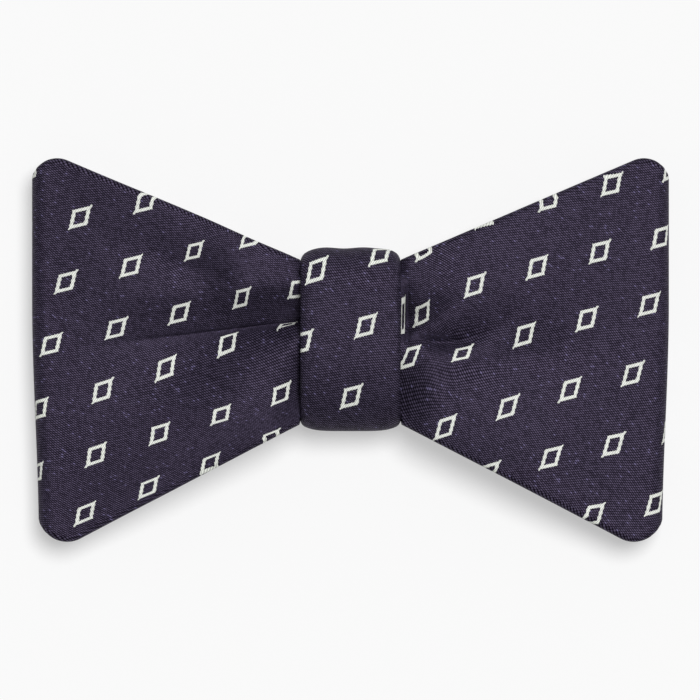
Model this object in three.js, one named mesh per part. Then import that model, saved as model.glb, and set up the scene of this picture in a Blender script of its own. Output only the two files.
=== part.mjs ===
// A silk bow tie with an all-over motif of small diamonds, lying on its back.
//
// The bow is one padded silk strip folded into two loops, a short wrap of the same silk goes round
// its waist, and a plain bent clip sits behind the loops, inside the wrap.
// Millimetres. X runs to the right, Y runs up and Z runs towards the viewer of the bow.
// The origin is the middle of the bow's outline, on the surface that the bow lies on.

import * as THREE from "three";

// The wings' outline, seen from the front
const BOW_WIDTH = 110;
const BOW_HEIGHT = 66.2;
const UPPER_CORNER_RADIUS = 4.6;
const LOWER_CORNER_RADIUS = 5.4;
const CORNER_SWEEP = 70; // degrees of a corner's quarter turn that are made before the outer fold
const LOWER_INSET = 1.2; // how far the outer fold draws in by its lower corner

// The padded silk: two layers of silk with an interlining between them, sewn as one ply
const PLY = 1.8;
const PLY_GAP = 0.6; // between the front and the back ply where they are pinched

// The wrap, a strip of the same silk folded to a soft band
const WRAP_WIDTH = 17.7;
const WRAP_HEIGHT = 31.6;
const WRAP_RISE = 1.8; // the wrap's middle sits this far above the middle of the bow
const WRAP_WALL = 1.4;
const WRAP_BEND_RADIUS = 5; // inside the bends at its top and its bottom
const WRAP_CROWN = { top: 1.7, bottom: 0.4, front: 0.6, back: 0 }; // how far the band bellies out
const CROWN_POWER = 7; // a high power keeps the band flat and rounds it near its edges
const CLEARANCE = 0.3; // between neighbouring pieces

// The loops, seen from above
const CREASE_DEPTH = { front: 3.4, back: 1.4 };
const BELLY_DEPTH = { front: 5, back: 3.8 }; // from the middle of the loop to each ply
const BELLY_SHARE = 0.42; // where a loop is deepest, as a share of the wing's length
const FOLD_RADIUS = 1.6; // of the ply's middle, at the pressed outer fold
const WING_DROOP = 1.6; // how far the outer fold leans back
const EDGE_LEAN = 0.9; // how far a wing's upper and lower edges lean back at its belly
const FLARE = { top: 1, bottom: 0.5 }; // how far an edge spreads as it leaves the wrap
const FLARE_LENGTH = 1.6;

// The clip, a bent steel strip whose arms slide behind the leaves of a collar
const CLIP_SPAN = 50;
const CLIP_BREADTH = 9;
const CLIP_THICKNESS = 0.8;
const CLIP_BEND_LENGTH = 0.8; // of each bend, before and after its corner
const CLIP_SLOPE_RUN = 2.5; // along X, from the bar down to an arm
const COLLAR_GAP = 2.4; // between an arm and the back of the wing

// Creases that fan out from the wrap. side is -1 for the left wing and 1 for the right one.
// root is the height at which a crease leaves the wrap, above its middle, as a share of half the
// wrap's height, and climb is its rise for each unit outwards. depth is a share of CREASE_DEPTH.
// above and below are how far its slopes spread, as shares of the wrap's height, and fan is how
// much wider they get for each unit outwards. It is deepest at start and gone at reach, which are
// shares of the wing's length.
const FRONT_CREASES = [
  { side: -1, root: 0.27, climb: -0.11, depth: 0.88, above: 0.05, below: 0.13, fan: 0.15, start: 0, reach: 0.85 },
  { side: -1, root: 0.3, climb: 0.4, depth: 0.42, above: 0.08, below: 0.06, fan: 0.17, start: 0.12, reach: 0.7 },
  { side: -1, root: -0.42, climb: 0, depth: 0.55, above: 0.2, below: 0.2, fan: 0.1, start: 0, reach: 0.1 },
  { side: 1, root: 0.16, climb: 0.3, depth: 0.6, above: 0.06, below: 0.05, fan: 0.12, start: 0, reach: 0.36 },
  { side: 1, root: -0.02, climb: 0.04, depth: 0.8, above: 0.04, below: 0.1, fan: 0.12, start: 0.16, reach: 0.8 },
  { side: 1, root: -0.12, climb: 0, depth: 0.9, above: 0.26, below: 0.3, fan: 0.1, start: 0, reach: 0.14 },
];
const BACK_CREASES = [
  { side: -1, root: 0, climb: 0, depth: 1, above: 0.14, below: 0.14, fan: 0.12, start: 0, reach: 0.7 },
  { side: 1, root: 0, climb: 0, depth: 1, above: 0.14, below: 0.14, fan: 0.12, start: 0, reach: 0.7 },
];

// How finely the pieces are divided
const STEPS = { waist: 4, flare: 3, wing: 13, corner: 3, fold: 8, height: 16, bend: 5, crown: 10, hem: 4 };
const WING_GRADING = 1.5; // the wing's steps are shorter near the wrap, where the creases are sharp

const mix = (a, b, share) => a + (b - a) * share;
const ease = (from, to, x) => THREE.MathUtils.smoothstep(x, from, to);
const shares = (count) => Array.from({ length: count }, (_, i) => (i + 1) / count);
const innerShares = (count) => shares(count).slice(0, -1);

// Plan sizes
const halfWidth = BOW_WIDTH / 2;
const halfHeight = BOW_HEIGHT / 2;
const halfWrap = WRAP_WIDTH / 2;
const halfPly = PLY / 2;
const foldStart = halfWidth - halfPly - FOLD_RADIUS;
const wingLength = halfWidth - halfWrap;
const bellyX = halfWrap + BELLY_SHARE * wingLength;

// Levels, stacked up from the surface that the bow lies on
const pinch = (PLY_GAP + PLY) / 2; // the least that a ply's middle keeps from the loop's middle
const droopAt = (x) => WING_DROOP * (x / halfWidth) ** 2;
const loopLevel = CLIP_THICKNESS + COLLAR_GAP + halfPly + BELLY_DEPTH.back + droopAt(bellyX);
const waistDepth = { front: pinch + CREASE_DEPTH.front, back: pinch + CREASE_DEPTH.back };
const barTop = loopLevel - waistDepth.back - halfPly - CLEARANCE;

// The inner face of the wrap by its side edges
const wrapTop = WRAP_RISE + WRAP_HEIGHT / 2 - WRAP_CROWN.top - WRAP_WALL;
const wrapBottom = WRAP_RISE - WRAP_HEIGHT / 2 + WRAP_CROWN.bottom + WRAP_WALL;
const wrapFront = loopLevel + waistDepth.front + halfPly + CLEARANCE;
const wrapBack = barTop - CLIP_THICKNESS - CLEARANCE;

// The upper or lower edge of a wing, along the middle of the ply: it leaves the wrap, runs
// straight, and turns round the corner as far as the outer fold.
function wingEdge(sign, wrapLimit, flare, radius) {
  const inWrap = sign * wrapLimit - CLEARANCE - halfPly;
  const arc = radius - halfPly;
  const sweep = THREE.MathUtils.degToRad(CORNER_SWEEP);
  const anchor = new THREE.Vector2(halfWrap, inWrap + CLEARANCE + flare);
  const centre = new THREE.Vector2(halfWidth - halfPly - arc * Math.sin(sweep), halfHeight - radius);
  const toCentre = centre.clone().sub(anchor);
  const slope = toCentre.angle() + Math.asin(arc / toCentre.length());
  const tangentX = centre.x - arc * Math.sin(slope);
  const at = (x) => {
    const line = anchor.y + (x - anchor.x) * Math.tan(slope);
    const round = centre.y + Math.sqrt(Math.max(0, arc ** 2 - (x - centre.x) ** 2));
    const outside = x > tangentX ? round : line;
    return sign * mix(inWrap, outside, ease(halfWrap, halfWrap + FLARE_LENGTH, x));
  };
  return { tangentX, at };
}
const upperEdge = wingEdge(1, wrapTop, FLARE.top, UPPER_CORNER_RADIUS);
const lowerEdge = wingEdge(-1, wrapBottom, FLARE.bottom, LOWER_CORNER_RADIUS);

// Half the loop's depth inside the wrap, where a ply follows the wrap's inner face and its bends
function waistLevel(depth, y) {
  const round = WRAP_BEND_RADIUS - CLEARANCE - halfPly;
  const middle = (wrapTop + wrapBottom) / 2;
  const flat = (wrapTop - wrapBottom) / 2 - WRAP_BEND_RADIUS;
  const past = Math.max(0, Math.abs(y - middle) - flat);
  const bent = depth - round + Math.sqrt(Math.max(0, round ** 2 - past ** 2));
  return Math.max(pinch, bent);
}

// How far the creases pull a ply in at x, y, as a share of CREASE_DEPTH and never more than 1
function creasePull(rows, side, x, y) {
  const along = Math.max(0, x - halfWrap);
  const left = rows.map((row) => {
    const start = row.start * wingLength;
    const middle = WRAP_RISE + (row.root * WRAP_HEIGHT) / 2 + row.climb * along;
    const spread = (y > middle ? row.above : row.below) * WRAP_HEIGHT + row.fan * along;
    const fade = (along < start ? ease(0, start, along) : 1) * (1 - ease(start, row.reach * wingLength, along));
    // both wings share the waist, so their creases cross-fade under the wrap
    const ownSide = ease(-halfWrap, halfWrap, side * row.side * x);
    return 1 - row.depth * fade * ownSide * Math.exp(-(((y - middle) / spread) ** 2));
  });
  return 1 - left.reduce((product, share) => product * share, 1);
}

// How far a ply lies in front of or behind the loop's middle at x, y
function plyDepth(face, side, x, y, height) {
  const lean = EDGE_LEAN * height ** 2 * (1 - ease(bellyX, halfWidth, x));
  const wing = mix(BELLY_DEPTH[face] - lean, FOLD_RADIUS, ease(bellyX, foldStart, x));
  const level = mix(waistLevel(waistDepth[face], y), wing, ease(halfWrap, bellyX, x));
  const rows = face === "front" ? FRONT_CREASES : BACK_CREASES;
  return Math.max(pinch, level - CREASE_DEPTH[face] * creasePull(rows, side, x, y));
}

// Stations from the middle of the bow out to the start of the outer fold
function plyStations() {
  const flareEnd = halfWrap + FLARE_LENGTH;
  const cornerStart = Math.min(upperEdge.tangentX, lowerEdge.tangentX);
  return [
    0,
    ...shares(STEPS.waist).map((s) => s * halfWrap),
    ...shares(STEPS.flare).map((s) => mix(halfWrap, flareEnd, s)),
    ...shares(STEPS.wing).map((s) => mix(flareEnd, cornerStart, s ** WING_GRADING)),
    ...shares(STEPS.corner).map((s) => mix(cornerStart, foldStart, s)),
  ];
}

// The middle of the ply at one station, from the lower edge to the upper one. depthAt gives the
// ply's level in front of the loop's middle.
function clothRow(side, x, depthAt) {
  return [0, ...shares(STEPS.height)].map((share) => {
    const y = mix(lowerEdge.at(x), upperEdge.at(x), share);
    const inset = LOWER_INSET * ease(-halfHeight / 4, halfHeight, -y) * (x / halfWidth) ** 2;
    const z = loopLevel - droopAt(x) + depthAt(y, 2 * share - 1);
    return new THREE.Vector3(side * (x - inset), y, z);
  });
}

// The loops' middle surface: round the right loop and then round the left one
function clothRows() {
  const front = (side, x) => clothRow(side, x, (y, height) => plyDepth("front", side, x, y, height));
  const back = (side, x) => clothRow(side, x, (y, height) => -plyDepth("back", side, x, y, height));
  const fold = (side, turn) =>
    clothRow(side, foldStart + FOLD_RADIUS * Math.sin(turn), () => FOLD_RADIUS * Math.cos(turn));
  const out = plyStations();
  const back2front = (side) => [
    ...out.slice(1).map((x) => front(side, x)),
    ...innerShares(STEPS.fold).map((share) => fold(side, share * Math.PI)),
    ...out.slice(1).reverse().map((x) => back(side, x)),
  ];
  return [front(1, 0), ...back2front(1), back(1, 0), ...back2front(-1).reverse()];
}

// Thickens a closed band of rows into a solid ply with ridged edges
function plyGeometry(rows) {
  const last = rows[0].length - 1;
  const at = (i, j) => rows[(i + rows.length) % rows.length][j];
  const normalAt = (i, j) => {
    const normal = new THREE.Vector3();
    for (const [di, dj] of [[-1, -1], [-1, 0], [0, -1], [0, 0]]) {
      if (j + dj < 0 || j + dj >= last) continue;
      const one = at(i + di + 1, j + dj + 1).clone().sub(at(i + di, j + dj));
      const other = at(i + di, j + dj + 1).clone().sub(at(i + di + 1, j + dj));
      normal.add(one.cross(other));
    }
    return normal.normalize();
  };
  const rings = rows.map((row, i) => {
    const normals = row.map((_, j) => normalAt(i, j));
    const rim = (j, sign) => {
      const along = at(i + 1, j).clone().sub(at(i - 1, j)).normalize();
      return row[j].clone().addScaledVector(normals[j].clone().cross(along), sign * halfPly);
    };
    const outer = row.map((point, j) => point.clone().addScaledVector(normals[j], halfPly));
    const inner = row.map((point, j) => point.clone().addScaledVector(normals[j], -halfPly));
    return [...outer, rim(last, 1), ...inner.reverse(), rim(0, -1)];
  });
  return ringGeometry(rings);
}

// Joins closed rings of points, each to the next and the last to the first
function ringGeometry(rings) {
  const size = rings[0].length;
  const index = rings.flatMap((ring, i) => {
    const next = (i + 1) % rings.length;
    return ring.flatMap((_, j) => {
      const k = (j + 1) % size;
      const [a, b, c, d] = [i * size + j, next * size + j, next * size + k, i * size + k];
      return [a, b, c, a, c, d];
    });
  });
  const position = rings.flat().flatMap((point) => point.toArray());
  const geometry = new THREE.BufferGeometry();
  geometry.setAttribute("position", new THREE.Float32BufferAttribute(position, 3));
  geometry.setIndex(index);
  geometry.computeVertexNormals();
  return geometry;
}

// The wrap's inner face by its side edges, as points with their outward directions in Y and Z.
// It starts at the front of the top bend and runs over the top, down the back and up the front.
function wrapPath() {
  const centres = [
    { y: wrapTop - WRAP_BEND_RADIUS, z: wrapFront - WRAP_BEND_RADIUS },
    { y: wrapTop - WRAP_BEND_RADIUS, z: wrapBack + WRAP_BEND_RADIUS },
    { y: wrapBottom + WRAP_BEND_RADIUS, z: wrapBack + WRAP_BEND_RADIUS },
    { y: wrapBottom + WRAP_BEND_RADIUS, z: wrapFront - WRAP_BEND_RADIUS },
  ];
  const point = (y, z, quarterTurns) => {
    const up = Math.sin((quarterTurns * Math.PI) / 2);
    const out = Math.cos((quarterTurns * Math.PI) / 2);
    return { y: y + WRAP_BEND_RADIUS * up, z: z + WRAP_BEND_RADIUS * out, up, out };
  };
  return centres.flatMap((centre, i) => {
    const next = centres[(i + 1) % centres.length];
    const run = Math.hypot(next.y - centre.y, next.z - centre.z);
    const bend = [0, ...shares(STEPS.bend)].map((s) => point(centre.y, centre.z, i + s));
    const straight = innerShares(Math.round(run / WRAP_BEND_RADIUS)).map((s) =>
      point(mix(centre.y, next.y, s), mix(centre.z, next.z, s), i + 1),
    );
    return [...bend, ...straight];
  });
}

// The wrap: its section across X, with both side edges rounded, carried round the path
function wrapGeometry() {
  const halfWall = WRAP_WALL / 2;
  const flat = halfWrap - halfWall;
  const across = [0, ...shares(STEPS.crown)].map((s) => mix(-flat, flat, s));
  const hem = innerShares(STEPS.hem).map((s) => ({
    x: flat + halfWall * Math.sin(s * Math.PI),
    lift: halfWall - halfWall * Math.cos(s * Math.PI),
  }));
  const section = [
    ...across.map((x) => ({ x, lift: 0 })),
    ...hem,
    ...[...across].reverse().map((x) => ({ x, lift: WRAP_WALL })),
    ...[...hem].reverse().map(({ x, lift }) => ({ x: -x, lift })),
  ];
  const rings = wrapPath().map(({ y, z, up, out }) => {
    const crown =
      (up > 0 ? WRAP_CROWN.top : WRAP_CROWN.bottom) * up ** 2 +
      (out > 0 ? WRAP_CROWN.front : WRAP_CROWN.back) * out ** 2;
    return section.map(({ x, lift }) => {
      const height = lift + crown * (1 - Math.abs(x / halfWrap) ** CROWN_POWER);
      return new THREE.Vector3(x, y + up * height, z + out * height);
    });
  });
  return ringGeometry(rings);
}

// The clip: its bar runs through the wrap, and its arms step down behind the wings
function clipGeometry() {
  const barEnd = halfWrap + CLEARANCE + CLIP_BEND_LENGTH;
  const armStart = barEnd + CLIP_SLOPE_RUN;
  const barLevel = barTop - CLIP_THICKNESS;
  const under = [
    [CLIP_SPAN / 2, 0],
    [armStart, 0],
    [barEnd, barLevel],
    [-barEnd, barLevel],
    [-armStart, 0],
    [-CLIP_SPAN / 2, 0],
  ].map(([x, z]) => new THREE.Vector2(x, z));
  const over = under.map(({ x, y }) => new THREE.Vector2(x, y + CLIP_THICKNESS)).reverse();
  const shape = new THREE.Shape();
  for (const side of [under, over]) {
    shape[side === under ? "moveTo" : "lineTo"](side[0].x, side[0].y);
    for (let i = 1; i < side.length - 1; i += 1) {
      const back = side[i - 1].clone().sub(side[i]).setLength(CLIP_BEND_LENGTH).add(side[i]);
      const ahead = side[i + 1].clone().sub(side[i]).setLength(CLIP_BEND_LENGTH).add(side[i]);
      shape.lineTo(back.x, back.y);
      shape.quadraticCurveTo(side[i].x, side[i].y, ahead.x, ahead.y);
    }
    shape.lineTo(side.at(-1).x, side.at(-1).y);
  }
  shape.closePath();
  const geometry = new THREE.ExtrudeGeometry(shape, {
    depth: CLIP_BREADTH,
    bevelEnabled: false,
    curveSegments: 4,
  });
  // the profile is drawn in X and Z, and its breadth runs along Y
  geometry.rotateX(Math.PI / 2);
  geometry.translate(0, CLIP_BREADTH / 2, 0);
  return geometry;
}

function named(name, geometry, material) {
  const mesh = new THREE.Mesh(geometry, material);
  mesh.name = name;
  return mesh;
}

const silk = new THREE.MeshStandardMaterial({ color: 0x37313f, roughness: 0.62, metalness: 0 });
const steel = new THREE.MeshStandardMaterial({ color: 0xb9bcc0, roughness: 0.3, metalness: 1 });

const bowTie = new THREE.Group();
bowTie.add(
  named("bow_loops", plyGeometry(clothRows()), silk),
  named("knot_wrap", wrapGeometry(), silk),
  named("collar_clip", clipGeometry(), steel),
);

export default bowTie;
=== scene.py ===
# %% [markdown]
# # A silk bow tie with an all-over motif of small diamonds
#
# The bow lies on its back on a pale table and is seen from straight above. It is sewn from three
# things: a padded strip of silk folded into two loops, a short band of the same silk that pinches
# the loops at the waist, and a spring clip behind them that slides under a collar.
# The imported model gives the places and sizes. This script dresses it: the two silk pieces get
# meshes with real creases and a woven cloth, and the clip gets a brushed steel.

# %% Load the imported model
import math

import bpy
import numpy as np
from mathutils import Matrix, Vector


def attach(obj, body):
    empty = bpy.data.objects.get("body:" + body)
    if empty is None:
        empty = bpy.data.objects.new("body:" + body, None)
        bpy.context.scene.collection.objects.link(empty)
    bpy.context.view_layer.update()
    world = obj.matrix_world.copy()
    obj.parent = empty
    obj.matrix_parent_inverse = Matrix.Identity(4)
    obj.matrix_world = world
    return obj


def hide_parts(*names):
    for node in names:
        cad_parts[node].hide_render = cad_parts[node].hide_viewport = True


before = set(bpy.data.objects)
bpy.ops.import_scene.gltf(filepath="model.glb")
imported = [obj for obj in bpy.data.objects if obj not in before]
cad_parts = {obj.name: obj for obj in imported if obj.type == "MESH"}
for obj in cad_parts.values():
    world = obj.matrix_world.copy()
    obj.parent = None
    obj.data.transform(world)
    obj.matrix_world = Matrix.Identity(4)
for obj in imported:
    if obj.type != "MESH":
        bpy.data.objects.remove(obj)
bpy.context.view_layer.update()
print("nodes", sorted(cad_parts))

# %% [markdown]
# ## Sizes
#
# A maker thinks of a bow in millimetres, so every size below is in millimetres and only the last
# step of each mesh turns them into metres. X runs to the right along the bow, Y runs up, and Z
# comes towards the viewer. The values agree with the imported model, which fixes the outline.

# %% Plan sizes of the wings, the ply, the wrap and the clip
BOW_WIDTH = 110
BOW_HEIGHT = 66.2
UPPER_CORNER_RADIUS = 4.6
LOWER_CORNER_RADIUS = 5.4
CORNER_SWEEP = math.radians(70)
LOWER_INSET = 1.2  # the lower corners lie this much nearer to the middle than the upper ones
PLY = 1.8
PLY_GAP = 0.6  # between the front and the back ply where the wrap squeezes them most
WRAP_WIDTH = 17.3
WRAP_HEIGHT = 31.6
WRAP_RISE = 1.8  # how far the wrap's middle lies above the bow's
WRAP_WALL = 1.4
WRAP_CROWN = {"top": 1.7, "bottom": 1.2, "front": 0.6, "back": 0}  # its belly between the hems
CLEARANCE = 0.3
# how far a loop's faces stand off its middle: inside the wrap, beyond the squeezed ply, and where
# a wing is thickest
CREASE_DEPTH = {"front": 3.4, "back": 1.4}
BELLY_DEPTH = {"front": 5, "back": 3.8}
BELLY_SHARE = 0.42  # how far out along a wing it is thickest
FOLD_RADIUS = 1.6
WING_DROOP = 1.6  # how far the outer ends hang towards the table
EDGE_LEAN = 0.9  # how much closer together the long edges lie than the middle of a loop
FLARE = {"top": 1, "bottom": 1.3}  # the step outwards of an edge that leaves the wrap
LOWER_SLACK = 1  # extra room inside the wrap's long lower bend
FLARE_START = -0.05  # where that step starts, measured outwards from the wrap's side
FLARE_LENGTH = 0.7
CLIP_THICKNESS = 0.8
COLLAR_GAP = 2.4  # the room for a collar between the clip's arms and the loops

half_width, half_height = BOW_WIDTH / 2, BOW_HEIGHT / 2
half_wrap, half_ply = WRAP_WIDTH / 2, PLY / 2
fold_start = half_width - half_ply - FOLD_RADIUS
wing_length = half_width - half_wrap
belly_x = half_wrap + BELLY_SHARE * wing_length
pinch = (PLY_GAP + PLY) / 2


def mix(a, b, share):
    return a + (b - a) * share


def ease(start, end, x):
    """0 before start, 1 after end, and a smooth step between them."""
    share = np.clip((x - start) / (end - start), 0, 1)
    return share * share * (3 - 2 * share)


def hump(off, width):
    """1 where off is 0, and nearly 0 past twice the width."""
    return np.exp(-((off / width) ** 2))


def droop(x):
    return WING_DROOP * (x / half_width) ** 2


loop_level = CLIP_THICKNESS + COLLAR_GAP + half_ply + BELLY_DEPTH["back"] + droop(belly_x)
waist_depth = {face: pinch + CREASE_DEPTH[face] for face in CREASE_DEPTH}
bar_top = loop_level - waist_depth["back"] - half_ply - CLEARANCE
wrap_top = WRAP_RISE + WRAP_HEIGHT / 2 - WRAP_CROWN["top"] - WRAP_WALL
wrap_bottom = WRAP_RISE - WRAP_HEIGHT / 2 + WRAP_CROWN["bottom"] + WRAP_WALL
wrap_front = loop_level + waist_depth["front"] + half_ply + CLEARANCE
wrap_back = bar_top - CLIP_THICKNESS - CLEARANCE
print("loops' middle lies", round(loop_level, 2), "mm above the table")

# %% [markdown]
# ## The outline of a wing
#
# Each wing widens in a straight line from the wrap to a rounded corner, and its outer end is a
# soft fold with no seam. An edge is one function of the distance from the bow's middle, so the
# front and the back of the loop share it exactly.


# %% The upper and lower edges
def wing_edge(sign, wrap_limit, slack, flare, radius):
    """Where an edge's straight part ends, and its height at any distance from the middle."""
    in_wrap = sign * wrap_limit - CLEARANCE - half_ply - slack
    arc = radius - half_ply
    anchor = Vector((half_wrap, in_wrap + slack + CLEARANCE + flare))
    corner_x = half_width - half_ply - arc * math.sin(CORNER_SWEEP)
    centre = Vector((corner_x, half_height - radius))
    to_centre = centre - anchor
    slope = math.atan2(to_centre.y, to_centre.x) + math.asin(arc / to_centre.length)
    tangent_x = centre.x - arc * math.sin(slope)

    def at(x):
        line = anchor.y + (x - anchor.x) * math.tan(slope)
        round_part = centre.y + np.sqrt(np.maximum(0, arc**2 - (x - centre.x) ** 2))
        outside = np.where(x > tangent_x, round_part, line)
        flare_start = half_wrap + FLARE_START
        return sign * mix(in_wrap, outside, ease(flare_start, flare_start + FLARE_LENGTH, x))

    return tangent_x, at


upper_tangent, upper_edge = wing_edge(1, wrap_top, 0, FLARE["top"], UPPER_CORNER_RADIUS)
lower_tangent, lower_edge = wing_edge(
    -1, wrap_bottom, LOWER_SLACK, FLARE["bottom"], LOWER_CORNER_RADIUS
)
corner_height = float(upper_edge(lower_tangent) - lower_edge(lower_tangent))
print("wing height at its corner", round(corner_height, 1))

# %% [markdown]
# ## Creases
#
# The wrap squeezes a strip of 66 mm to about 24 mm, so the spare cloth falls into creases that fan
# out from the wrap and die away. A simulation would choose its own creases. Here they are drawn
# from a short table, as a tailor would dress the bow by hand: where each one starts, which way it
# runs, how deep it is and how steep its two slopes are.

# %% The creases of the front and the back
# They pull the cloth in towards these levels, in front and behind.
LEAST_LEVEL = {"front": -0.1, "back": 1.9}
# root is a crease's height at the wrap's side, climb its rise and bend its curve for each unit
# outwards. above and below are the widths of its two slopes there, and the fans say how much
# wider each gets. run says how far out it begins, is at its full depth, starts to fade and ends.
# lap is how far the cloth above hangs over it. sharp is 2 for a round valley and 1 for a V, and
# ramp is 1 where the upper slope is a plane.
FRONT_CREASES = [
    dict(side=-1, root=5.1, climb=-0.12, bend=0, depth=1, above=6, above_fan=0.06,
         below=1.1, below_fan=0.42, run=(-1, 0, 19, 42), lap=0.7, sharp=1.1, ramp=1),
    dict(side=-1, root=6.8, climb=0.37, bend=0, depth=0.55, above=4.8, above_fan=0.1,
         below=9, below_fan=0.1, run=(8, 18, 20, 42), lap=0, sharp=1.4, ramp=0),
    dict(side=-1, root=1, climb=-0.2, bend=0, depth=0.5, above=9, above_fan=0.1,
         below=7, below_fan=0.05, run=(8, 24, 26, 46), lap=0, sharp=1.6, ramp=0),
    dict(side=1, root=4, climb=0.48, bend=0, depth=0.7, above=1.5, above_fan=0.1,
         below=1.2, below_fan=0.1, run=(-1, 0, 0, 11), lap=0, sharp=1.5, ramp=0),
    dict(side=1, root=3.1, climb=-0.47, bend=0.031, depth=0.55, above=1.2, above_fan=0.14,
         below=0.9, below_fan=0.06, run=(0, 7, 7, 23), lap=0.3, sharp=1.3, ramp=0),
    dict(side=1, root=-3.4, climb=0.1, bend=0, depth=0.45, above=8, above_fan=0,
         below=9, below_fan=0, run=(4, 20, 24, 40), lap=0, sharp=1.6, ramp=0),
]
BACK_CREASES = [
    dict(side=side, root=1.8, climb=0, bend=0, depth=1, above=4.4, above_fan=0.12,
         below=4.4, below_fan=0.12, run=(-1, 0, 0, 32), lap=0, sharp=1.5, ramp=0)
    for side in (-1, 1)
]
LAP_WIDTH = 1.2
# Next to the wrap the cloth also gathers and dives. at says how far from the wrap it is deepest.
FRONT_GATHERS = [
    dict(side=1, middle=5.9, spread=3.6, depth=0.8, at=1.2, length=0.8),
    dict(side=1, middle=-9, spread=7, depth=0.35, at=0, length=2.2),
    dict(side=-1, middle=-5, spread=7, depth=0.35, at=0, length=1.2),
]
# Beside the wrap the front of a loop stands out most: how far, and where it is at its highest.
SWELL = {-1: (1.5, 14), 1: (0.8, 8)}
SWELL_END = 36  # measured outwards from the wrap, as the rest is
PLANE_ROUNDING = 0.02  # how round the upper corner of a plane slope is
WRAP_BEND = {"top": (3.2, 3.2), "bottom": (12, 5.4), "back": (5, 5)}  # along Y and along Z
BEND_REACH = {"top": 1.6, "bottom": 6}  # how far out the cloth still follows those bends
BEND_SHARE = 0.55  # and how much of their depth it follows


def crease_shape(row, x, y):
    """How far a point lies above a crease, in mm and in widths of its slope, and its strength."""
    along = np.maximum(0, x - half_wrap)
    middle = row["root"] + row["climb"] * along + row["bend"] * along**2
    off = y - middle
    above = row["above"] + row["above_fan"] * along
    below = row["below"] + row["below_fan"] * along
    spread = np.where(off > 0, above, below)
    begin, full, fading, end = row["run"]
    return off, off / spread, ease(begin, full, along) * (1 - ease(fading, end, along))


def own_side(row, side, x):
    """1 on the crease's own wing, 0 on the other, and a smooth step inside the wrap."""
    return ease(-half_wrap, half_wrap, side * row["side"] * x)


def pull(face, side, x, y):
    """How far the creases pull the cloth in, as a share of the way to the least level."""
    left = np.ones_like(y)
    for row in FRONT_CREASES if face == "front" else BACK_CREASES:
        _, share, strength = crease_shape(row, x, y)
        valley = np.exp(-np.abs(share) ** row["sharp"])
        plane = (1 - share + np.sqrt((1 - share) ** 2 + PLANE_ROUNDING)) / 2
        valley = np.where(share > 0, mix(valley, plane, row["ramp"]), valley)
        left *= 1 - row["depth"] * strength * own_side(row, side, x) * valley
    if face == "front":
        for row in FRONT_GATHERS:
            dive = np.exp(-np.abs(np.maximum(0, x - half_wrap) - row["at"]) / row["length"])
            dive = dive * own_side(row, side, x) * hump(y - row["middle"], row["spread"])
            left *= 1 - row["depth"] * dive
    return 1 - left


def lap_shift(side, x, y):
    """How far the cloth just above a crease hangs down over it."""
    shift = np.zeros_like(y)
    for row in FRONT_CREASES:
        if row["lap"]:
            off, _, strength = crease_shape(row, x, y)
            off = np.maximum(off, 0) / LAP_WIDTH
            hang = off * np.exp(0.5 - 0.5 * off**2)
            shift += row["lap"] * strength * own_side(row, side, x) * hang
    return shift


def waist_level(depth, x, y):
    """Half the loop's depth by the wrap, where the cloth's edges follow the wrap's bends."""
    level = np.full_like(y, depth)
    for sign, limit, bend, reach in (
        (1, wrap_top, WRAP_BEND["top"], BEND_REACH["top"]),
        (-1, wrap_bottom, WRAP_BEND["bottom"], BEND_REACH["bottom"]),
    ):
        long, deep = (radius - CLEARANCE - half_ply for radius in bend)
        fade = 1 - ease(half_wrap - 0.2, half_wrap + reach, x)
        into_bend = ease(0, 1, (sign * (y - limit) + bend[0]) / long)
        level = level - fade * BEND_SHARE * deep * into_bend
    return np.maximum(pinch, level)


print(len(FRONT_CREASES), "creases in front and", len(BACK_CREASES), "behind")

# %% [markdown]
# ## The loops' cloth
#
# The strip is laid out as rows of points, each row running from the lower to the upper edge. The
# rows go out along the front of a wing, round the outer fold and back along its rear. The creases
# then pull the points in towards the middle of the loop.

# %% Rows of points round both loops
FRONT_STEPS = {"waist": 8, "flare": 8, "wing": 84, "corner": 14}
BACK_STEPS = {"waist": 3, "flare": 3, "wing": 30, "corner": 8}
FOLD_STEPS = 14
COLUMNS = 112
RIM_STEPS = 5
RIM_STEEPNESS = 0.6


def stations(steps):
    """Distances from the bow's middle to the start of the outer fold."""
    flare_start = half_wrap + FLARE_START
    flare_end = flare_start + FLARE_LENGTH
    corner = min(upper_tangent, lower_tangent)
    spans = [
        np.linspace(0, flare_start, steps["waist"], endpoint=False),
        np.linspace(flare_start, flare_end, steps["flare"], endpoint=False),
        mix(flare_end, corner, np.linspace(0, 1, steps["wing"], endpoint=False) ** 1.2),
        np.linspace(corner, fold_start, steps["corner"] + 1),
    ]
    return np.concatenate(spans)


height_share = np.linspace(0, 1, COLUMNS + 1)


def wing_rows(side, face, xs):
    """Points of one face of one wing before its creases, and how far the creases lower each."""
    x = xs[:, None] + 0 * height_share
    y = mix(lower_edge(x), upper_edge(x), height_share)
    height = 2 * height_share - 1 + 0 * x
    lean = EDGE_LEAN * height**2 * (1 - ease(belly_x, half_width, x))
    wing = mix(BELLY_DEPTH[face] - lean, FOLD_RADIUS, ease(belly_x, fold_start, x))
    level = mix(waist_level(waist_depth[face], x, y), wing, ease(half_wrap, belly_x, x))
    if face == "front":
        rise, top = SWELL[side]
        swell = ease(half_wrap, half_wrap + top, x)
        swell = swell * (1 - ease(half_wrap + top, half_wrap + SWELL_END, x))
        level = level + rise * swell * (1 - height**4)
    lowered = np.maximum(0, level - LEAST_LEVEL[face]) * pull(face, side, x, y)
    sign = 1 if face == "front" else -1
    return place(side, x, y, sign * level), sign * lowered


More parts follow.
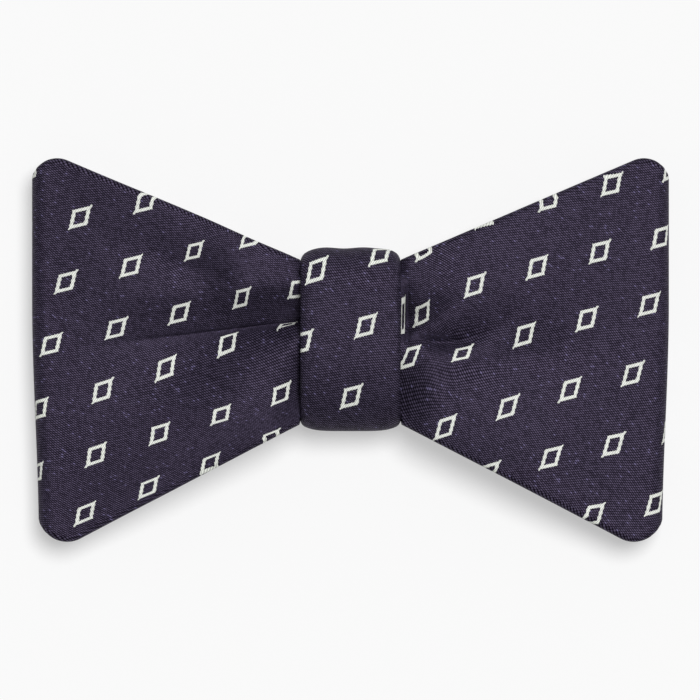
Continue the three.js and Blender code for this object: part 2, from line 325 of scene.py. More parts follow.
def place(side, x, y, depth):
    """Points of the bow from their distance out, their height and their depth in the loop."""
    inset = LOWER_INSET * ease(-half_height / 4, half_height, -y) * (x / half_width) ** 2
    return np.stack([side * (x - inset), y, loop_level - droop(x) + depth], axis=-1)


def fold_rows(side):
    """The soft fold at a wing's outer end."""
    turn = np.linspace(0, np.pi, FOLD_STEPS + 1)[1:-1, None] + 0 * height_share
    x = fold_start + FOLD_RADIUS * np.sin(turn)
    y = mix(lower_edge(x), upper_edge(x), height_share)
    return place(side, x, y, FOLD_RADIUS * np.cos(turn)), np.zeros_like(y)


def wing(side):
    """One loop, from the first row outside the middle in front to the one behind."""
    front = wing_rows(side, "front", stations(FRONT_STEPS)[1:])
    fold = fold_rows(side)
    back = wing_rows(side, "back", stations(BACK_STEPS)[:0:-1])
    return [np.concatenate(parts) for parts in zip(front, fold, back)]


right, left = wing(1), wing(-1)
middle_front = wing_rows(1, "front", np.zeros(1))
middle_back = wing_rows(1, "back", np.zeros(1))
sheet_points, pushes = [
    np.concatenate([middle_front[k], right[k], middle_back[k], left[k][::-1]]) for k in (0, 1)
]
print("rows and points in a row", sheet_points.shape[:2])

# %% [markdown]
# ## From a surface to a padded ply
#
# The ply is silk outside, interlining in the middle and silk inside, about 1.8 mm in all. The
# creases lower the outer face first, and the inner face is laid one thickness behind it, so a
# sharp crease stays sharp where it is seen. The long edges are turned and pressed, which makes
# them round, and a half circle of points joins the two faces there.


# %% Normals, thickness and rolled edges
def unit(vectors):
    return vectors / np.maximum(np.linalg.norm(vectors, axis=-1, keepdims=True), 1e-12)


def face_normals(points):
    """Normals of a band of rows that closes on itself, one for each point."""
    ahead, behind = np.roll(points, -1, axis=0), np.roll(points, 1, axis=0)
    along = ahead - behind
    across = np.empty_like(points)
    across[:, 1:-1] = points[:, 2:] - points[:, :-2]
    across[:, 0] = points[:, 1] - points[:, 0]
    across[:, -1] = points[:, -1] - points[:, -2]
    return unit(np.cross(along, across)), unit(along)


base_normals, _ = face_normals(sheet_points)
outer = sheet_points + base_normals * half_ply
outer[..., 2] -= pushes

front_rows = np.arange(1, len(stations(FRONT_STEPS)))
for side, rows in ((1, front_rows), (-1, len(outer) - front_rows)):
    x = np.abs(sheet_points[rows, :, 0])
    outer[rows, :, 1] -= lap_shift(side, x, sheet_points[rows, :, 1])

normals, along = face_normals(outer)
inner = outer - PLY * normals


def rim(column, sign):
    """A half circle from the outer to the inner face round one long edge."""
    run = along[:, column].copy()
    # beside the wrap an edge steps outwards, but its roll keeps the direction of the long edge
    by_wrap = np.abs(outer[:, column, 0]) < half_wrap + 2
    steepest = np.where(by_wrap, RIM_STEEPNESS, 1e6) * np.abs(run[:, 0])
    run[:, 1] = np.clip(run[:, 1], -steepest, steepest)
    out = unit(np.cross(normals[:, column], run)) * sign
    centre = outer[:, column] - half_ply * normals[:, column]
    turns = np.linspace(0, np.pi, RIM_STEPS + 2)[1:-1]
    rolled = [math.cos(turn) * normals[:, column] + math.sin(turn) * out for turn in turns]
    return np.stack([centre + half_ply * direction for direction in rolled], axis=1)


rings = np.concatenate([outer, rim(-1, 1), inner[:, ::-1], rim(0, -1)[:, ::-1]], axis=1)
print("points in the loops", rings.shape[0] * rings.shape[1])

# %% [markdown]
# ## Cloth coordinates
#
# The diamonds are woven in, so they sit on a lattice in the cloth and bend, close up and vanish
# with it. Each point of the mesh therefore carries its place in the flat cloth, in millimetres,
# as a UV map. The lattice's two steps are known, so a point's place follows from its row and
# column number in the lattice. On the left wing the crease swallows up to 6 mm of cloth. On the
# right one the gather beside the wrap swallows up to 11 mm.

# %% The lattice of diamonds
COLUMN_STEP = np.array([10.985, 2.85])  # from a diamond to the next one on its right
ROW_STEP = np.array([-2.51, -12.11])  # and to the one below it
ROW_PITCH = 10.9

# For each row of diamonds: its height at the outer fold and at the wrap, and where its first
# column lies along X.
LEFT_LATTICE = dict(
    rows=[-1, 0, 1, 2, 3, 4, 5, 6, 7, 8],
    outer=[42.4, 31.75, 21.1, 10.5, 0.35, -10.3, -21.1, -31.2, -41.6, -52],
    wrap=[53.3, 42.8, 32.3, 21.8, 11.6, 1.3, -11.85, -18.7, -26, -36],
    first=[-42.2, -44.5, -46.8, -49.25, -51.8, -54.2, -55.3, -57.2, -58.8, -61],
)
RIGHT_LATTICE = dict(
    rows=[-2, -1, 0, 1, 2, 3, 4, 5, 6],
    outer=[53.2, 42.2, 31.2, 20, 8.9, -2.3, -14.2, -26.1, -37.5],
    wrap=[40.7, 29.7, 18.7, 7.5, -3.6, -15.7, -25.2, -35.5, -45.5],
    first=[27.8, 25.7, 23.6, 21.5, 19.3, 16.4, 13.1, 9.65, 6.5],
)


def smooth_table(places, values, at):
    """A Catmull-Rom curve through a short table."""
    fine = np.linspace(places[0], places[-1], 40 * (len(places) - 1) + 1)
    values = np.asarray(values, float)
    slopes = np.gradient(values, places)
    k = np.clip(np.searchsorted(places, fine, side="right") - 1, 0, len(places) - 2)
    t = fine - np.asarray(places, float)[k]
    curve = (
        (2 * t**3 - 3 * t**2 + 1) * values[k]
        + (t**3 - 2 * t**2 + t) * slopes[k]
        + (3 * t**2 - 2 * t**3) * values[k + 1]
        + (t**3 - t**2) * slopes[k + 1]
    )
    return np.interp(at, fine, curve)


def table_at(table, name, row):
    return smooth_table(table["rows"], table[name], row)


def lattice_row(table, share, y):
    """The row number at height y, found by correcting a guess a few times."""
    row = (table["outer"][1] - y) / ROW_PITCH
    for _ in range(25):
        level = mix(table_at(table, "outer", row), table_at(table, "wrap", row), share)
        row = row + (level - y) / ROW_PITCH
    return row


# Where the cloth is steep, a diamond looks smaller. Each row is one such place: how far out and
# how high it lies, how far it reaches, and how much more cloth lies in each millimetre there.
STEEP_PLACES = [
    dict(side=-1, along=9.8, height=9, long=3.6, tall=4, narrower=0.3, flatter=0),
    dict(side=-1, along=18.6, height=17, long=4, tall=4, narrower=0.2, flatter=0.2),
    dict(side=1, along=10.5, height=-0.5, long=5, tall=2.6, narrower=0, flatter=0.8),
]


def steep(side, along, y):
    """The extra cloth along X and along Y."""
    extra = np.zeros((2, *y.shape))
    for row in STEEP_PLACES:
        if row["side"] == side:
            a, b = (along - row["along"]) / row["long"], (y - row["height"]) / row["tall"]
            near = np.exp(-(a**2) - b**2)
            extra[0] += side * row["narrower"] * row["long"] * a * near
            extra[1] += row["flatter"] * row["tall"] * b * near
    return extra


print("rows of diamonds", len(LEFT_LATTICE["rows"]), "left and", len(RIGHT_LATTICE["rows"]), "right")

# %% [markdown]
# ### Where the folds swallow cloth
#
# A fold hides a strip of the pattern, so the diamonds on its two sides come closer together. The
# left fold hides most by the wrap and ever less outwards. On the right the cloth is gathered
# sideways too, and a fold right beside the wrap hides most of a column of diamonds. The cloth
# inside a fold can't be seen or measured, so each amount follows from how close together the
# diamonds on the fold's two sides lie.

# %% The cloth that is hidden on each wing
LEFT_COLUMN, RIGHT_COLUMN = 11.45, 10.8  # from a column of diamonds to the next, as it looks
COLUMN_GROWTH = 1.35e-3  # the left wing's columns come closer together towards the wrap
LEFT_TUCK = dict(depth=5.7, reach=42, root=5, climb=-0.12, width=0.8, fan=0.1)
TUCK_BY_WRAP = dict(depth=0.6, reach=5)
# two small shifts above the left crease, along X and along Y
WRAP_SHIFT = (0.7, 0.85)
EDGE_SHIFT = 1.15
RIGHT_GATHER = dict(wide=2.1, reach=7, close=1.2, close_reach=2.5, middle=4.2, spread=8.2)
RIGHT_FOLD = dict(bottom=(1.3, 2.6), top=(9.5, 13), out=(0.9, 1.4), cloth=10.9, taper=3.7,
                  shift=0.55, stretch=0.5, centre=5.8)
RIGHT_PINCH = dict(below=-2.1, above=2.3, edge=(1.9, 3.1), start=(-12, -3.5), out=(3, 10))
RIGHT_SAG = 0.6  # of the rows, halfway between the wrap and the outer end


def left_cloth(x, y):
    """The lattice row and column of points on the left wing."""
    along = -half_wrap - x
    nearness = np.clip(1 - along / LEFT_TUCK["reach"], 0, 1.1)
    tuck = LEFT_TUCK["depth"] * mix(nearness, nearness**1.6, ease(-14, -8, y))
    tuck = tuck + TUCK_BY_WRAP["depth"] * hump(along, TUCK_BY_WRAP["reach"]) * ease(-4, 2, y)
    crease = LEFT_TUCK["root"] + LEFT_TUCK["climb"] * along
    width = LEFT_TUCK["width"] + LEFT_TUCK["fan"] * np.maximum(0, along)
    flat_y = y - tuck * (1 - ease(crease - width / 2, crease + width / 2, y))
    by_wrap = hump(along, 3) * ease(5, 8, y)
    by_edge = hump(along - 8.6, 4) * ease(13, 17, y)
    extra = steep(-1, along, y)
    flat_y = flat_y + extra[1] + WRAP_SHIFT[1] * by_wrap
    row = lattice_row(LEFT_LATTICE, 1 - along / wing_length, flat_y)
    flat_x = x + extra[0] + WRAP_SHIFT[0] * by_wrap + EDGE_SHIFT * by_edge
    u = flat_x - table_at(LEFT_LATTICE, "first", row)
    return row, u / LEFT_COLUMN * (1 + COLUMN_GROWTH * u)


def right_cloth(x, y):
    """The lattice row and column of points on the right wing."""
    along = x - half_wrap
    share = 1 - along / wing_length
    along = np.maximum(0, along)
    wide = RIGHT_GATHER["wide"] * np.exp(-((along / RIGHT_GATHER["reach"]) ** 4))
    close = RIGHT_GATHER["close"] * hump(along, RIGHT_GATHER["close_reach"]) * (1 - ease(0, 3, y))
    gathered = (wide + close) * hump(y - RIGHT_GATHER["middle"], RIGHT_GATHER["spread"])
    hidden = ease(*RIGHT_FOLD["bottom"], y) * (1 - ease(*RIGHT_FOLD["top"], y))
    hidden = hidden * (1 - ease(*RIGHT_FOLD["out"], along))
    gathered = mix(gathered, RIGHT_FOLD["cloth"] - RIGHT_FOLD["taper"] * along, hidden)
    near = (1 - ease(*RIGHT_PINCH["out"], along)) * ease(*RIGHT_PINCH["start"], y)
    pinched = mix(RIGHT_PINCH["below"], RIGHT_PINCH["above"], ease(*RIGHT_PINCH["edge"], y))
    extra = steep(1, along, y)
    flat_y = y + near * pinched - RIGHT_SAG * (4 * share * (1 - share)) ** 2
    behind = RIGHT_FOLD["shift"] + RIGHT_FOLD["stretch"] * (y - RIGHT_FOLD["centre"])
    flat_y = flat_y + extra[1] - hidden * behind
    row = lattice_row(RIGHT_LATTICE, share, flat_y)
    u = x + extra[0] - gathered - table_at(RIGHT_LATTICE, "first", row)
    return row, u / RIGHT_COLUMN


def flat_place(row, column):
    """A place in the flat cloth, in mm, from its row and column in the lattice."""
    return column[..., None] * COLUMN_STEP + row[..., None] * ROW_STEP


left_hidden = LEFT_TUCK["depth"] + TUCK_BY_WRAP["depth"]
print("cloth hidden beside the wrap in mm", left_hidden, "left and", RIGHT_FOLD["cloth"], "right")

# %% Cloth coordinates of the loops
# The lattice is tabled as it looks from the camera, at this height and scale.
VIEW_HEIGHT = 1600
VIEW_SCALE = 0.9974
VIEW_RISE = 0.15
RIM_SHARE = 0.6  # how much of a turned edge's length the pattern uses up


def wing_cloth(side, points):
    """Places in the flat cloth for one wing's rows, as wing() orders them."""
    cloth = left_cloth if side < 0 else right_cloth
    fronts = len(stations(FRONT_STEPS)) - 1
    seen = points[..., :2] * (VIEW_SCALE / (1 - points[..., 2:] / VIEW_HEIGHT))
    x = side * np.maximum(side * seen[..., 0], half_wrap - 2)
    places = flat_place(*cloth(x, seen[..., 1] + VIEW_RISE))
    # past the start of the outer fold, the cloth runs on by its own length
    steps = np.linalg.norm(np.diff(points[fronts - 1 :], axis=0)[..., [0, 2]], axis=-1)
    run = np.cumsum(steps, axis=0)
    places[fronts:] = places[fronts - 1]
    places[fronts:, :, 0] += side * run
    places[fronts:, :, 1] += points[fronts:, :, 1] - points[fronts - 1, :, 1]
    return places


fronts_and_backs = len(right[0])
right_places = wing_cloth(1, outer[1 : 1 + fronts_and_backs])
left_places = wing_cloth(-1, outer[: -fronts_and_backs - 1 : -1])
places = np.concatenate([right_places[:1], right_places, right_places[-1:], left_places[::-1]])
ring_places = np.concatenate(
    [
        places,
        np.repeat(places[:, -1:], RIM_STEPS, axis=1),
        places[:, ::-1],
        np.repeat(places[:, :1], RIM_STEPS, axis=1),
    ],
    axis=1,
)
# round the turned edge, the pattern runs on over the rim
rim_run = RIM_SHARE * half_ply * np.linspace(0, np.pi, RIM_STEPS + 2)[1:-1]
columns = COLUMNS + 1
ring_places[:, columns : columns + RIM_STEPS, 1] += rim_run
ring_places[:, -RIM_STEPS:, 1] -= rim_run[::-1]
least, most = ring_places.min(axis=(0, 1)), ring_places.max(axis=(0, 1))
print("cloth coordinates in mm", least.round(1), most.round(1))

# %% [markdown]
# ## Making a mesh from rings
#
# Both silk pieces are closed bands of rings, so one function turns such a grid into a mesh: four
# neighbouring points make a face, the last ring joins the first, and the cloth coordinates
# become the UV map. Smooth shading hides the small faces.


# %% A mesh from rings of points
def mesh_from_rings(name, points, uv_near, uv_far):
    """points in mm. uv_near and uv_far are the coordinates at each ring's near and far side."""
    rings_count, size = points.shape[:2]
    i, j = np.meshgrid(np.arange(rings_count), np.arange(size), indexing="ij")
    beside = (j + 1) % size
    here, following = i * size, (i + 1) % rings_count * size
    faces = np.stack([here + j, following + j, following + beside, here + beside], axis=-1)
    mesh = bpy.data.meshes.new(name)
    mesh.from_pydata((points.reshape(-1, 3) / 1000).tolist(), [], faces.reshape(-1, 4).tolist())
    corner_uv = [uv_near[i, j], uv_far[i, j], uv_far[i, beside], uv_near[i, beside]]
    corner_uv = np.stack(corner_uv, axis=2)
    mesh.uv_layers.new(name="cloth").data.foreach_set("uv", corner_uv.ravel())
    mesh.shade_smooth()
    mesh.update()
    piece = bpy.data.objects.new(name, mesh)
    bpy.context.scene.collection.objects.link(piece)
    print(name, len(mesh.polygons), "faces")
    return piece


loops = mesh_from_rings("silk_loops", rings, ring_places, np.roll(ring_places, -1, axis=0))

# %% [markdown]
# ## The wrap
#
# The wrap is a strip folded into a soft band about 17 mm wide and sewn shut behind the bow. Its
# section across is flat with two rounded side edges. That section is carried round a rounded
# rectangle, and the band bellies out a little between its edges, most at the top.

# %% The wrap's path and section
CROWN_POWER = {"top": 7, "bottom": 5}  # the higher, the flatter the belly and the steeper its sides
RIPPLE_DEPTH, RIPPLE_LENGTH, RIPPLE_PLACE = 0.1, 6.6, -4.4  # soft waves along the upper edge
PATH_STEP = 1.2  # along the straight parts
BEND_STEPS = 16
CROSS_STEPS = 24
HEM_STEPS = 7
bends = {name: np.array(radii) for name, radii in WRAP_BEND.items()}
top_bend, bottom_bend, back_bend = bends["top"], bends["bottom"], bends["back"]
corners = [
    ((wrap_top - top_bend[0], wrap_front - top_bend[1]), top_bend),
    ((wrap_top - back_bend[0], wrap_back + back_bend[1]), back_bend),
    ((wrap_bottom + back_bend[0], wrap_back + back_bend[1]), back_bend),
    ((wrap_bottom + bottom_bend[0], wrap_front - bottom_bend[1]), bottom_bend),
]
path = []  # y, z, and the direction outwards, from the front of the top bend over the top
for k, (middle, bend) in enumerate(corners):
    next_middle, next_bend = corners[(k + 1) % 4]
    for angle in np.linspace(k, k + 1, BEND_STEPS + 1) * np.pi / 2:
        turn = np.array([math.sin(angle), math.cos(angle)])
        path.append((*(middle + bend * turn), *unit(turn / bend)))
    start = np.array(path[-1])
    end = next_middle + next_bend * turn
    pieces = max(2, round(float(np.linalg.norm(end - start[:2])) / PATH_STEP))
    for share in np.linspace(0, 1, pieces + 1)[1:-1]:
        path.append((*mix(start[:2], end, share), *start[2:]))
path = np.array(path)

half_wall = WRAP_WALL / 2
flat = half_wrap - half_wall
cross = np.linspace(-flat, flat, CROSS_STEPS + 1)
hem = np.linspace(0, np.pi, HEM_STEPS + 1)[1:-1]
hem_out, hem_lift = half_wall * np.sin(hem), half_wall * np.cos(hem)
section_x = np.concatenate([cross, flat + hem_out, cross[::-1], -flat - hem_out])
section_lift = np.concatenate(
    [0 * cross, half_wall - hem_lift, WRAP_WALL + 0 * cross, half_wall + hem_lift]
)

up, out = path[:, 2:3], path[:, 3:4]
crown = np.where(up > 0, WRAP_CROWN["top"], WRAP_CROWN["bottom"]) * up**2
crown = crown + np.where(out > 0, WRAP_CROWN["front"], WRAP_CROWN["back"]) * out**2
across = np.abs(section_x / half_wrap)
ripple = RIPPLE_DEPTH * np.cos(2 * np.pi * (section_x - RIPPLE_PLACE) / RIPPLE_LENGTH)
ripple = ripple * np.maximum(0, up) * (1 - across**4)
lower_power = mix(CROWN_POWER["top"], CROWN_POWER["bottom"], up**2)
power = np.where(up > 0, CROWN_POWER["top"], lower_power)
lift = section_lift + crown * (1 - across**power) + ripple
wrap_rings = np.stack(
    [section_x + 0 * lift, path[:, 0:1] + up * lift, path[:, 1:2] + out * lift], axis=-1
)

# Cloth coordinates: the length round the outside of the band, with its seam behind the bow
outside = path[:, :2] + path[:, 2:] * WRAP_WALL
steps = np.linalg.norm(np.roll(outside, -1, axis=0) - outside, axis=1)
run = outside[0, 0] + np.concatenate([[0], np.cumsum(steps)[:-1]])
behind = int(np.argmin(np.abs(path[:, 0] - WRAP_RISE) + np.where(path[:, 3] < -0.99, 0, 99)))
near_run = run - np.where(np.arange(len(run)) >= behind, steps.sum(), 0)
WRAP_DIAMOND = (2.63, 4.16)  # one diamond of the band has its middle here
wrap_u = section_x - WRAP_DIAMOND[0] + 0 * lift
wrap_v = near_run[:, None] - WRAP_DIAMOND[1] + 0 * lift
wrap_places = np.stack([wrap_u, wrap_v], axis=-1)
far_places = wrap_places.copy()
far_places[..., 1] += steps[:, None]
wrap = mesh_from_rings("silk_wrap", wrap_rings, wrap_places, far_places)
print("length round the band in mm", round(float(steps.sum()), 1))

# %% [markdown]
# ## Woven silk
#
# The cloth is a jacquard silk: a dark ground of very fine twill with diamonds that float on it in
# a cream thread. To the eye the ground is a near-black purple with tiny lights where threads
# catch the light, and each diamond has stepped edges because it can only begin and end at whole
# threads. Real threads are 0.1 to 0.2 mm apart. They are drawn at 0.33 to 0.42 mm, the finest
# that a view of the whole bow can still show.


# %% Helpers for materials
def linear(hex_colour):
    """An sRGB hex colour as linear RGBA."""
    channels = [int(hex_colour[k : k + 2], 16) / 255 for k in (0, 2, 4)]
    return [c / 12.92 if c <= 0.04045 else ((c + 0.055) / 1.055) ** 2.4 for c in channels] + [1]


def add(tree, kind, inputs=None, **settings):
    """Adds a shader node. A node or a socket given as an input is linked, a value is set."""
    node = tree.nodes.new("ShaderNode" + kind)
    for name, value in settings.items():
        setattr(node, name, value)
    for socket, value in (inputs or {}).items():
        if isinstance(value, bpy.types.Node):
            value = value.outputs[0]
        if isinstance(value, bpy.types.NodeSocket):
            tree.links.new(value, node.inputs[socket])
        else:
            node.inputs[socket].default_value = value
    return node


def new_material(name):
    material = bpy.data.materials.new(name)
    material.use_nodes = True
    material.node_tree.nodes.clear()
    return material, material.node_tree


def direction(degrees):
    """A unit vector in the plane of the cloth."""
    return (math.cos(math.radians(degrees)), math.sin(math.radians(degrees)), 0)


print("middle grey in linear light", round(linear("808080")[0], 3))

# %% [markdown]
# ### The motif
#
# A point of the cloth is first moved to the middle of the thread that it lies on. Its row and
# column in the lattice then follow from two dot products, and what is left after rounding them
# says where it lies in its diamond. A diamond is the outer parallelogram less the inner one,
# with a short tail at two of its corners.

# %% The silk's threads and diamonds
THREAD_ANGLE = 57  # of the cream threads, in degrees above the horizontal
THREAD_PITCH = 0.34
THREAD_STEP = 0.5  # how far a diamond's outline follows whole threads
TWILL_PITCH, TWILL_ANGLE = 0.33, 41
WEFT_PITCH, WEFT_ANGLE = 0.415, 97
DIAMOND_OUTER = (0.139, 0.147)  # half sizes, as shares of the two lattice steps
DIAMOND_INNER = (0.083, 0.097)
DIAMOND_TAIL = 1.1  # how far its two tails reach, in half sizes
TAIL_WIDTH = 0.17
# the thread colour in the hollows, darkened with painted shade, and on the raised threads, lightened
# with painted sheen
GROUND_SHADED_HOLLOWS = "06040a"
GROUND_LIT_THREADS = "443e52"
# a painted glint: the colour of a thread that catches the light
PAINTED_GLINT = "625c7e"
CREAM = "f7faf2"

silk, tree = new_material("jacquard_silk")
cloth = add(tree, "UVMap", uv_map="cloth")
MATH, VECTOR = "Math", "VectorMath"


def dot(a, b):
    return add(tree, VECTOR, {0: a, 1: b}, operation="DOT_PRODUCT").outputs["Value"]


across_threads = direction(THREAD_ANGLE + 90)
thread = dot(cloth, across_threads)
thread = add(tree, MATH, {0: thread, 1: THREAD_PITCH}, operation="DIVIDE")
thread_number = add(tree, MATH, {0: thread}, operation="FLOOR")
within = add(tree, MATH, {0: thread}, operation="FRACT")
to_middle = add(tree, MATH, {0: 0.5, 1: within}, operation="SUBTRACT")
to_middle = add(tree, MATH, {0: to_middle, 1: THREAD_PITCH * THREAD_STEP}, operation="MULTIPLY")
shift = add(tree, VECTOR, {0: across_threads, "Scale": to_middle}, operation="SCALE")
stepped = add(tree, VECTOR, {0: cloth, 1: shift}, operation="ADD")

to_lattice = np.linalg.inv(np.stack([COLUMN_STEP, ROW_STEP], axis=1))
in_diamond = []
for k in (0, 1):
    weights = (*[float(v) for v in to_lattice[k]], 0)
    number = dot(stepped, weights)
    whole = add(tree, MATH, {0: number}, operation="ROUND")
    in_diamond.append(add(tree, MATH, {0: number, 1: whole}, operation="SUBTRACT"))


def reach_of(half_sizes):
    """How far out a point lies in a parallelogram: 1 on its outline."""
    shares = [
        add(tree, MATH, {0: offset, 1: size}, operation="DIVIDE")
        for offset, size in zip(in_diamond, half_sizes)
    ]
    sizes = [add(tree, MATH, {0: share}, operation="ABSOLUTE") for share in shares]
    return add(tree, MATH, {0: sizes[0], 1: sizes[1]}, operation="MAXIMUM"), shares


outer_reach, outer_shares = reach_of(DIAMOND_OUTER)
inner_reach, _ = reach_of(DIAMOND_INNER)
# the tails lie on the long diagonal, where the column share is minus the row share
off_diagonal = add(tree, MATH, {0: outer_shares[0], 1: outer_shares[1]}, operation="ADD")
off_diagonal = add(tree, MATH, {0: off_diagonal}, operation="ABSOLUTE")
on_tail = add(tree, MATH, {0: off_diagonal, 1: TAIL_WIDTH}, operation="LESS_THAN")
limit = add(tree, MATH, {0: on_tail, 1: DIAMOND_TAIL - 1, 2: 1.0}, operation="MULTIPLY_ADD")
inside = add(tree, MATH, {0: outer_reach, 1: limit}, operation="LESS_THAN")
hollow = add(tree, MATH, {0: inner_reach, 1: 1.0}, operation="GREATER_THAN")
motif = add(tree, MATH, {0: inside, 1: hollow}, operation="MULTIPLY")
diamond_sides = 2 * np.array(DIAMOND_OUTER) * np.linalg.norm([COLUMN_STEP, ROW_STEP], axis=1)
print("sides of a diamond in mm", diamond_sides.round(2))

# %% [markdown]
# ### The ground and the finish
#
# The ground mixes two thread colours: a near-black one in the hollows between the threads,
# which is partly painted shade, and a lighter one on the raised threads, which is partly painted
# sheen. Twill lines and weft rows set the mix, and every crossing gets its own random lightness,
# as real threads never lie quite alike. One crossing in fifty is painted lighter still, a painted
# glint. The same pattern drives a very shallow bump. Silk has a soft shine with no sharp
# highlight, so it is fairly rough, and the shine sits on the raised threads alone.

# %% The silk's ground
SWAY = 0.7  # how far the threads wander, in mm
WEFT_CONTRAST = 0.82
CHANCE_CONTRAST, CHANCE_LEAST = 1.0, 0.72
# a painted glint is put on one crossing in fifty
GLINT_LIMIT = 0.98  # one crossing in fifty catches the light

sway = add(tree, "TexNoise", {"Vector": cloth, "Scale": 0.1, "Detail": 1.0}, noise_dimensions="2D")
sway = add(tree, VECTOR, {0: sway.outputs["Color"], 1: (0.5, 0.5, 0.5)}, operation="SUBTRACT")
sway = add(tree, VECTOR, {0: sway, "Scale": SWAY}, operation="SCALE")
swayed = add(tree, VECTOR, {0: cloth, 1: sway}, operation="ADD")
twill = dot(swayed, direction(TWILL_ANGLE))
twill = add(tree, MATH, {0: twill, 1: TWILL_PITCH}, operation="DIVIDE")
weft = dot(swayed, direction(WEFT_ANGLE))
weft = add(tree, MATH, {0: weft, 1: WEFT_PITCH}, operation="DIVIDE")
waves = []
for value in (twill, weft, thread):
    turned = add(tree, MATH, {0: value, 1: 2 * math.pi}, operation="MULTIPLY")
    wave = add(tree, MATH, {0: turned}, operation="COSINE")
    waves.append(add(tree, MATH, {0: wave, 1: 0.5, 2: 0.5}, operation="MULTIPLY_ADD"))
twill_wave, weft_wave, thread_wave = waves
crossing = add(
    tree,
    "CombineXYZ",
    {
        0: add(tree, MATH, {0: twill}, operation="ROUND"),
        1: add(tree, MATH, {0: weft}, operation="ROUND"),
    },
)
chance = add(tree, "TexWhiteNoise", {"Vector": crossing}, noise_dimensions="2D")
weft_part = {0: weft_wave, 1: WEFT_CONTRAST, 2: 1 - WEFT_CONTRAST}
weft_part = add(tree, MATH, weft_part, operation="MULTIPLY_ADD")
# 1 on the raised threads and 0 in the hollows: it sets the bump, the shine, and the painted shade
# and sheen of the ground's colour
thread_tops_and_painted_light = add(tree, MATH, {0: twill_wave, 1: weft_part}, operation="MULTIPLY")
chosen = {0: chance, 1: CHANCE_CONTRAST, 2: CHANCE_LEAST}
chosen = add(tree, MATH, chosen, operation="MULTIPLY_ADD")
thread_tops_and_painted_light = add(tree, MATH, {0: thread_tops_and_painted_light, 1: chosen}, operation="MULTIPLY", use_clamp=True)
# painted shade in the hollows and painted sheen on the raised threads
ground = {0: thread_tops_and_painted_light, 6: linear(GROUND_SHADED_HOLLOWS), 7: linear(GROUND_LIT_THREADS)}
ground = add(tree, "Mix", ground, data_type="RGBA", clamp_factor=True).outputs[2]
# painted glints: a few raised crossings are painted a light purple
painted_glint = add(tree, MATH, {0: chance, 1: GLINT_LIMIT}, operation="GREATER_THAN")
painted_glint = add(tree, MATH, {0: painted_glint, 1: thread_tops_and_painted_light}, operation="MULTIPLY")
ground = add(tree, "Mix", {0: painted_glint, 6: ground, 7: linear(PAINTED_GLINT)}, data_type="RGBA").outputs[2]
print("silk nodes up to the ground", len(tree.nodes))

# %% The cream threads, the bump and the shader
THREAD_RELIEF = 0.00002  # in metres
SHINE_RANGE = (0.03, 0.85)  # of the ground, from its hollows to its raised threads
DIAMOND_SHINE = 0.1

thread_chance = add(tree, "TexWhiteNoise", {"W": thread_number}, noise_dimensions="1D")
# each cream thread is painted lighter along its middle and darker at its sides, a painted shade of
# its round, and gets a small random tone of its own
cream_tone_and_painted_shade = add(tree, MATH, {0: thread_wave, 1: 0.5, 2: 0.5}, operation="MULTIPLY_ADD")
cream_tone_and_painted_shade = {0: thread_chance.outputs["Value"], 1: 0.1, 2: cream_tone_and_painted_shade}
cream_tone_and_painted_shade = add(tree, MATH, cream_tone_and_painted_shade, operation="MULTIPLY_ADD")
cream = add(tree, VECTOR, {0: linear(CREAM)[:3], "Scale": cream_tone_and_painted_shade}, operation="SCALE")
colour = add(tree, "Mix", {0: motif, 6: ground, 7: cream}, data_type="RGBA").outputs[2]

raised = add(tree, MATH, {0: thread_wave, 1: 0.4, 2: 0.9}, operation="MULTIPLY_ADD")
height = add(tree, "Mix", {0: motif, 2: thread_tops_and_painted_light, 3: raised}, data_type="FLOAT").outputs[0]
bump = add(tree, "Bump", {"Height": height, "Strength": 0.5, "Distance": THREAD_RELIEF})
shine = {"Value": thread_tops_and_painted_light, "To Min": SHINE_RANGE[0], "To Max": SHINE_RANGE[1]}
shine = add(tree, "MapRange", shine)
shine = add(tree, "Mix", {0: motif, 2: shine, 3: DIAMOND_SHINE}, data_type="FLOAT").outputs[0]
shader = add(
    tree,
    "BsdfPrincipled",
    {
        "Base Color": colour,
        "Roughness": 0.65,
        "IOR": 1.54,
        "Specular IOR Level": shine,
        "Specular Tint": linear("e4ceff"),
        "Normal": bump,
    },
)
add(tree, "OutputMaterial", {"Surface": shader})
for piece in (loops, wrap):
    piece.data.materials.append(silk)
print("silk nodes", len(tree.nodes))

# %% [markdown]
# ## The clip
#
# A collar clip is punched from thin spring steel and tumbled, which leaves fine scratches along
# its length and a soft grey shine. Its CAD shape is right, so the node stays and only gets a
# metal: full metallic, with long streaks that vary its roughness and its tone a little.

# %% Brushed spring steel for the clip
STEEL_DARK, STEEL_LIGHT = "a9acb1", "c9cccf"
STEEL_ROUGHNESS = (0.24, 0.42)
STREAK_STRETCH = (60, 4000, 4000)  # a streak is about 16 mm long and 0.25 mm wide
SCRATCH_DEPTH = 0.00002  # in metres

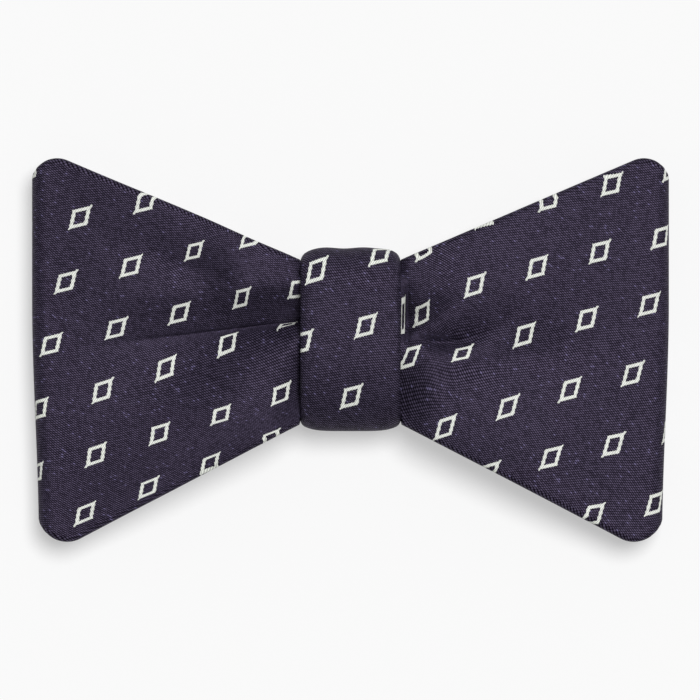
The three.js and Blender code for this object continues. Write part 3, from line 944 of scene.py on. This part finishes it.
steel, tree = new_material("brushed_spring_steel")
place_in = add(tree, "TexCoord").outputs["Object"]
stretched = add(tree, "Mapping", {"Vector": place_in, "Scale": STREAK_STRETCH})
streaks = add(tree, "TexNoise", {"Vector": stretched, "Scale": 1.0, "Detail": 3.0})
rough = {"Value": streaks, "To Min": STEEL_ROUGHNESS[0], "To Max": STEEL_ROUGHNESS[1]}
rough = add(tree, "MapRange", rough)
tone = {0: streaks, 6: linear(STEEL_DARK), 7: linear(STEEL_LIGHT)}
tone = add(tree, "Mix", tone, data_type="RGBA").outputs[2]
scratch = add(tree, "Bump", {"Height": streaks, "Strength": 0.15, "Distance": SCRATCH_DEPTH})
shader = add(
    tree,
    "BsdfPrincipled",
    {"Base Color": tone, "Metallic": 1.0, "Roughness": rough, "Normal": scratch},
)
add(tree, "OutputMaterial", {"Surface": shader})
clip = bpy.data.objects["collar_clip"]
clip.data.materials.clear()
clip.data.materials.append(steel)
print("clip", clip.name)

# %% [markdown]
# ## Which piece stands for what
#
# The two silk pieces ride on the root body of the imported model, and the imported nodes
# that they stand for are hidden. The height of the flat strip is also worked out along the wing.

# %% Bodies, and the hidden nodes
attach(loops, "root")
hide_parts("bow_loops")
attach(wrap, "root")
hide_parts("knot_wrap")
strip_steps = stations(BACK_STEPS)
strip_heights = upper_edge(strip_steps) - lower_edge(strip_steps) + PLY

# %% [markdown]
# ## Table, light and camera
#
# The bow is seen on a plain white table from straight above, far away through a long lens, so
# that its outline is nearly a plan view. One large soft light stands almost overhead, a little
# towards the top and the right, and throws the short soft shadow below and to the left. The sky
# fills in the rest.

# %% The table
bpy.ops.object.select_all(action="DESELECT")
bpy.ops.mesh.primitive_plane_add(size=6, location=(0, 0, 0))
table = bpy.context.object
table.name = "table"
paper, tree = new_material("white_card")
shader = add(
    tree,
    "BsdfPrincipled",
    {
        "Base Color": (0.5, 0.5, 0.5, 1),
        "Roughness": 0.9,
        "Specular IOR Level": 0.0,
        "Emission Color": (1, 1, 1, 1),
        "Emission Strength": 0.46,
    },
)
add(tree, "OutputMaterial", {"Surface": shader})
table.data.materials.append(paper)
print("table", table.name)

# %% Light
KEY_DIRECTION = Vector((0.18, 0.25, 1))
KEY_SPREAD = math.radians(26)  # a wide lamp, so the shadow's edge is soft
KEY_ENERGY = 2.79
SKY_STRENGTH = 0.14

key_data = bpy.data.lights.new("key", "SUN")
key_data.energy = KEY_ENERGY
key_data.angle = KEY_SPREAD
key = bpy.data.objects.new("key", key_data)
key.rotation_euler = KEY_DIRECTION.to_track_quat("Z", "Y").to_euler()
bpy.context.scene.collection.objects.link(key)
world = bpy.data.worlds.new("studio")
world.use_nodes = True
world.node_tree.nodes["Background"].inputs["Color"].default_value = (1, 1, 1, 1)
world.node_tree.nodes["Background"].inputs["Strength"].default_value = SKY_STRENGTH
bpy.context.scene.world = world
print("key light", KEY_ENERGY, "from", [round(v, 2) for v in KEY_DIRECTION], "sky", SKY_STRENGTH)

# %% Camera
CAMERA_HEIGHT = 1.6
CAMERA_X = -0.0000865  # half a pixel to the left
LENS = 474.4  # the bow's 110 mm then fill 636 of the view's 700 pixels
SENSOR_WIDTH = 36

camera_data = bpy.data.cameras.new("camera")
camera_data.lens = LENS
camera_data.sensor_width = SENSOR_WIDTH
camera = bpy.data.objects.new("camera", camera_data)
camera.location = (CAMERA_X, 0, CAMERA_HEIGHT)
bpy.context.scene.collection.objects.link(camera)
bpy.context.scene.camera = camera
bpy.context.scene.view_settings.view_transform = "Standard"
print("width of the view in mm", round(1000 * CAMERA_HEIGHT * SENSOR_WIDTH / LENS, 1))
